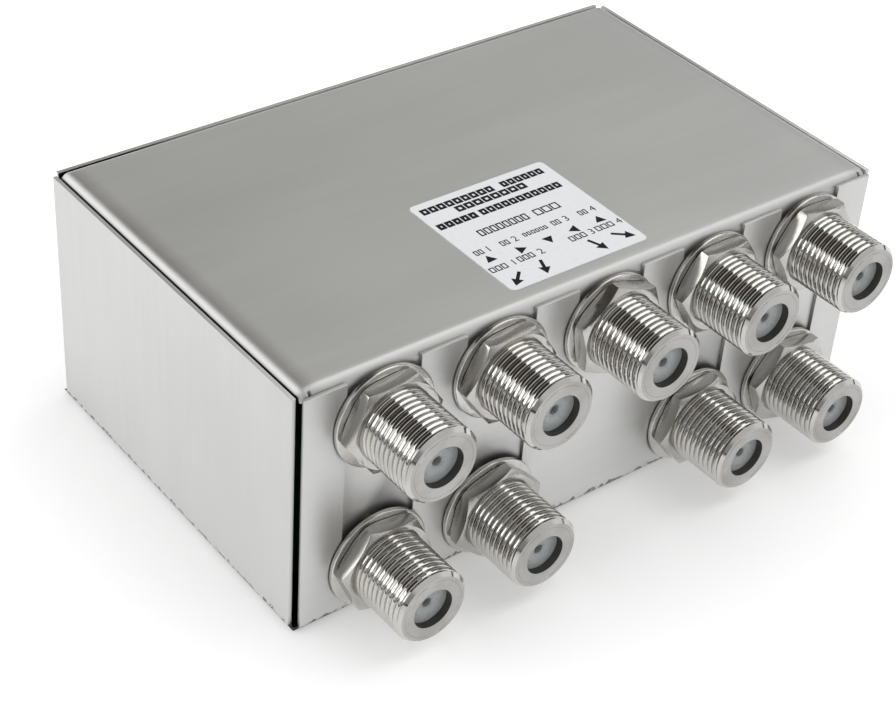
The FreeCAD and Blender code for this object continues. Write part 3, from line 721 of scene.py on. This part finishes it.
insulator_moulding = speckled_material(
    "insulator_moulding", HAZE, (0.58, 0.605, 0.605, 1.0), (0.50, 0.525, 0.53, 1.0), (0.22, 0.36), **RESIN)
moulding = cad_copy("in_1_insulator", "moulded_insulator_in_1")
bpy.ops.mesh.primitive_cone_add(
    vertices=HUB_STEPS, radius1=FUNNEL_MOUTH * MM, radius2=FUNNEL_FOOT * MM, depth=2 * FUNNEL_DEPTH * MM,
    location=(first_axis.x, INSULATOR_FACE * MM, first_axis.z), rotation=(-math.pi / 2, 0.0, 0.0))
funnel = bpy.context.object
bpy.ops.object.mode_set(mode="EDIT")
bpy.ops.mesh.primitive_torus_add(
    major_radius=HUB_RING * MM, minor_radius=HUB_RING_DEPTH * MM, major_segments=HUB_STEPS,
    minor_segments=RING_SIDES, location=(first_axis.x, INSULATOR_FACE * MM, first_axis.z),
    rotation=(math.pi / 2, 0.0, 0.0))
bpy.ops.object.mode_set(mode="OBJECT")
cut_away(moulding, funnel, INSULATOR_ANGLE)
finish_piece(moulding, insulator_moulding, "insulator_plastic", "in_1_insulator")
for socket in SOCKETS[1:]:
    repeat_piece(moulding, "moulded_insulator_" + socket, socket, "insulator_plastic", socket + "_insulator")


# Each contact is a rolled spring tube of tinned bronze inside the insulator, slit at the front to
# grip the plug's wire, with a thin tail soldered through the board.
contact_bronze = plated_material("contact_bronze", (0.66, 0.58, 0.42, 1.0), 0.28, 0.01)
for socket in SOCKETS:
    nodes[socket + "_contact"].material_slots[0].material = contact_bronze


# Inside, a laminate board stands behind the sockets and carries chip capacitors. The board has a
# green mask over a woven glass core, and each chip is fired ceramic with silvered ends.
WEAVE = (900.0, 2.0, (1.0, 1.0, 0.3))
CLOTH = (900.0, 2.0, (0.3, 1.0, 1.0))
WEAVE_SPAN = (0.1, 0.45)
MASK_COLOR = (0.015, 0.08, 0.035, 1.0)
MASK_PALE = (0.02, 0.12, 0.055, 1.0)
MASK_ROUGHNESS = (0.28, 0.42)
FIRED = (1500.0, 3.0)
board_mask, tree = new_material("board_mask")
place = object_place(tree)
threads = math_node(tree, "MULTIPLY", noise(tree, place, *WEAVE), noise(tree, place, *CLOTH))
mask_color = mix(tree, "RGBA", spread(tree, threads, *WEAVE_SPAN, 0.0, 1.0), MASK_COLOR, MASK_PALE)
surface(tree, add(tree, "ShaderNodeBsdfPrincipled", **{
    "Base Color": mask_color, "Roughness": spread(tree, threads, *WEAVE_SPAN, *MASK_ROUGHNESS)}))
nodes["circuit_board"].material_slots[0].material = board_mask

chip_ceramic = speckled_material(
    "chip_ceramic", FIRED, (0.42, 0.30, 0.19, 1.0), (0.50, 0.37, 0.25, 1.0), (0.45, 0.6))
nodes["chip_capacitors"].material_slots[0].material = chip_ceramic


# Three ferrite cores, each with two holes, carry copper windings that split the signal, and four
# small coils filter it. The cores are pressed and fired, and the wire is enamelled copper.
POWDER = (1800.0, 4.0)
POWDER_BUMP = 0.3
DRAWN = (1200.0, 2.0, (0.2, 1.0, 1.0))
core_ferrite = speckled_material(
    "core_ferrite", POWDER, (0.05, 0.05, 0.055, 1.0), (0.11, 0.11, 0.12, 1.0), (0.5, 0.7), POWDER_BUMP,
    Metallic=0.1)
enamelled_copper = speckled_material(
    "enamelled_copper", DRAWN, (0.62, 0.25, 0.10, 1.0), (0.74, 0.34, 0.16, 1.0), (0.22, 0.32),
    **{"Metallic": 1.0, "Coat Weight": 0.4})
for number in range(1, 4):
    nodes["splitter_core_%d" % number].material_slots[0].material = core_ferrite
    nodes["splitter_winding_%d" % number].material_slots[0].material = enamelled_copper
for number in range(1, 5):
    nodes["filter_coil_%d" % number].material_slots[0].material = enamelled_copper


bpy.context.view_layer.update()
